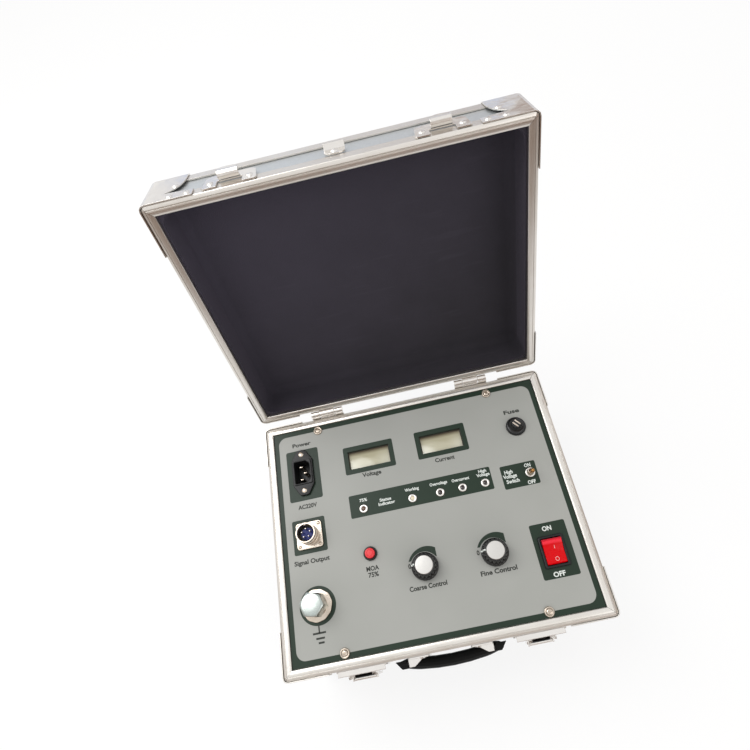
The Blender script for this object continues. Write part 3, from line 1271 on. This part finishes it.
def power_rocker(case):
    """The power switch: a frame with a pocket, and the rocker on its axle."""
    base = PANEL_FACE + CLEAR
    x, y = ROCKER_AT
    top = base + ROCKER_RISE
    outline = rounded(*ROCKER_FRAME, 0.0015, 2, ROCKER_AT)
    frame = piece("rocker_frame", prism(outline, base, top), case, "black_plastic")
    join(frame, block(ROCKER_AT, ROCKER_BODY, PANEL_BACK - ROCKER_DEPTH, base + ROCKER_RISE / 2), "body")
    cut(frame, block(ROCKER_AT, ROCKER_OPENING, top - ROCKER_POCKET, top + 0.01), "pocket")
    axle = top - 0.0022
    half = ROCKER_OPENING[0] / 2
    axis = pivot("rocker_axis", (x, y, axle), case, ROCKER_TILT)
    profile = [(y + ROCKER_REACH * math.cos(t), axle + ROCKER_REACH * math.sin(t))
               for t in (math.radians(a) for a in (26, 14, 0, -14, -24))]
    profile += [(2 * y - a, b) for a, b in reversed(profile)]
    crest = profile[0][1]
    profile += [(y - ROCKER_REACH * 0.5, crest - ROCKER_DIP * 0.75), (y, crest - ROCKER_DIP),
                (y + ROCKER_REACH * 0.5, crest - ROCKER_DIP * 0.75)]
    solid = prism(profile, x - ROCKER_WIDTH / 2, x + ROCKER_WIDTH / 2, "x")
    rocker = piece("rocker_button", solid, axis, "red_plastic")
    cut(rocker, cylinder((x, y, axle), ROCKER_AXLE + PIN_CLEAR, -half, half, 12, "x"), "bore")
    join(frame, cylinder((x, y, axle), ROCKER_AXLE, -half - 0.0005, half + 0.0005, 12, "x"), "axle")


def ground_terminal(case):
    """The ground stud with its washer, held by a nut below, and the cap nut above."""
    base = PANEL_FACE + CLEAR
    x, y = GROUND_AT
    low = PANEL_BACK - GROUND_TAIL
    washer = base + GROUND_WASHER_RISE
    collar = base + GROUND_COLLAR_RISE
    top = base + GROUND_STUD_RISE
    under = PANEL_BACK - CLEAR
    profile = [(0, low), (GROUND_STUD, low), (GROUND_STUD, under - GROUND_LOCKNUT_RISE),
               (GROUND_LOCKNUT, under - GROUND_LOCKNUT_RISE), (GROUND_LOCKNUT, under), (GROUND_STUD, under),
               (GROUND_STUD, base), (GROUND_WASHER, base), (GROUND_WASHER, washer - 0.0005),
               (GROUND_WASHER - 0.0005, washer), (GROUND_COLLAR, washer), (GROUND_COLLAR, collar),
               (GROUND_STUD, collar), (GROUND_STUD, top - 0.0012), (GROUND_STUD - 0.0012, top), (0, top)]
    piece("ground_stud", turned(profile, (x, y, 0), 24), case, "zinc")

    bottom = collar + CLEAR
    axis = pivot("ground_nut_axis", (x, y, bottom), case)
    crown = bottom + GROUND_NUT_RISE
    nut = piece("ground_nut", prism(hexagon(GROUND_AT, GROUND_NUT), bottom, crown), axis, "zinc")
    flats = GROUND_NUT * math.cos(math.pi / 6)
    chamfer = [(0, bottom - 0.01), (GROUND_NUT + 0.001, bottom - 0.01),
               (GROUND_NUT + 0.001, crown - GROUND_NUT_CHAMFER - 0.0005), (flats, crown - 0.0008),
               (flats - 0.0009, crown + 0.0001), (0, crown + 0.0001)]
    combine(nut, piece("keep.ground_nut", turned(chamfer, (x, y, 0), 24), axis), "INTERSECT")
    cut(nut, cylinder((x, y, 0), GROUND_STUD + PIN_CLEAR, bottom - 0.01, top + CLEAR, 20), "bore")


# Inside the base
def electronics(case):
    """The control board under the panel, and the transformer and heat sink on the floor."""
    top = PANEL_BACK - BOARD_DROP
    sheet = block(BOARD_AT, BOARD_SIZE, top - BOARD_THICKNESS, top)
    board = piece("control_board", sheet, case, "board_green")
    posts = None
    for sx, sy, inset_x, inset_y in STANDOFF_INSETS:
        foot = top - BOARD_THICKNESS / 2
        at = (BOARD_AT[0] + sx * (BOARD_SIZE[0] / 2 - inset_x),
              BOARD_AT[1] + sy * (BOARD_SIZE[1] / 2 - inset_y))
        posts = cylinder((*at, 0), STANDOFF_RADIUS, foot, PANEL_BACK - CLEAR, 12, "z", posts)
    join(board, posts, "standoffs")
    parts = None
    for (x0, x1), (y0, y1), tall in BOARD_BLOCKS:
        parts = box((x0, y0, top - BOARD_THICKNESS - tall), (x1, y1, top - BOARD_THICKNESS / 2), parts)
    join(board, parts, "components")

    floor = BASE_FLOOR + CLEAR
    lowest = top - BOARD_THICKNESS - max(tall for *_, tall in BOARD_BLOCKS)
    core_top = lowest - CORE_ROOM
    foot = block(CORE_AT, CORE_FOOT[:2], floor, floor + CORE_FOOT[2])
    transformer = piece("power_transformer", foot, case, "lamination")
    join(transformer, block(CORE_AT, CORE_SIZE, floor + CORE_FOOT[2] / 2, core_top), "core")
    coil = block(CORE_AT, COIL_SIZE, floor + COIL_SHORTER / 2, core_top - COIL_SHORTER / 2)
    join(transformer, coil, "coil")

    sink = piece("heat_sink", block(SINK_AT, SINK_SIZE, floor, floor + SINK_BASE), case, "sink_black")
    fins = None
    for index in range(SINK_FINS):
        share = index / (SINK_FINS - 1) - 0.5
        x = SINK_AT[0] + share * (SINK_SIZE[0] - SINK_FIN - 0.002)
        size = (SINK_FIN, SINK_SIZE[1] - 0.002)
        fins = block((x, SINK_AT[1]), size, floor + SINK_BASE / 2, lowest - SINK_ROOM, fins)
    join(sink, fins, "fins")


def build():
    case = pivot("case", (0, 0, 0))
    case.location.y = CASE_CENTRE_Y
    lid = pivot("lid_hinge_axis", (0, HINGE_Y, HINGE_Z), case, -LID_OPEN)
    shells_and_frames(case, lid)
    corner_caps(case, lid)
    feet(case)
    hinges(case, lid)
    latches(case, lid)
    finger_tab(lid)
    carrying_handle(case)
    panel_and_rails(case)
    power_inlet(case)
    meters(case)
    indicator_lamps(case)
    fuse(case)
    high_voltage_switch(case)
    signal_socket(case)
    test_button(case)
    knobs(case)
    power_rocker(case)
    ground_terminal(case)
    electronics(case)


build()
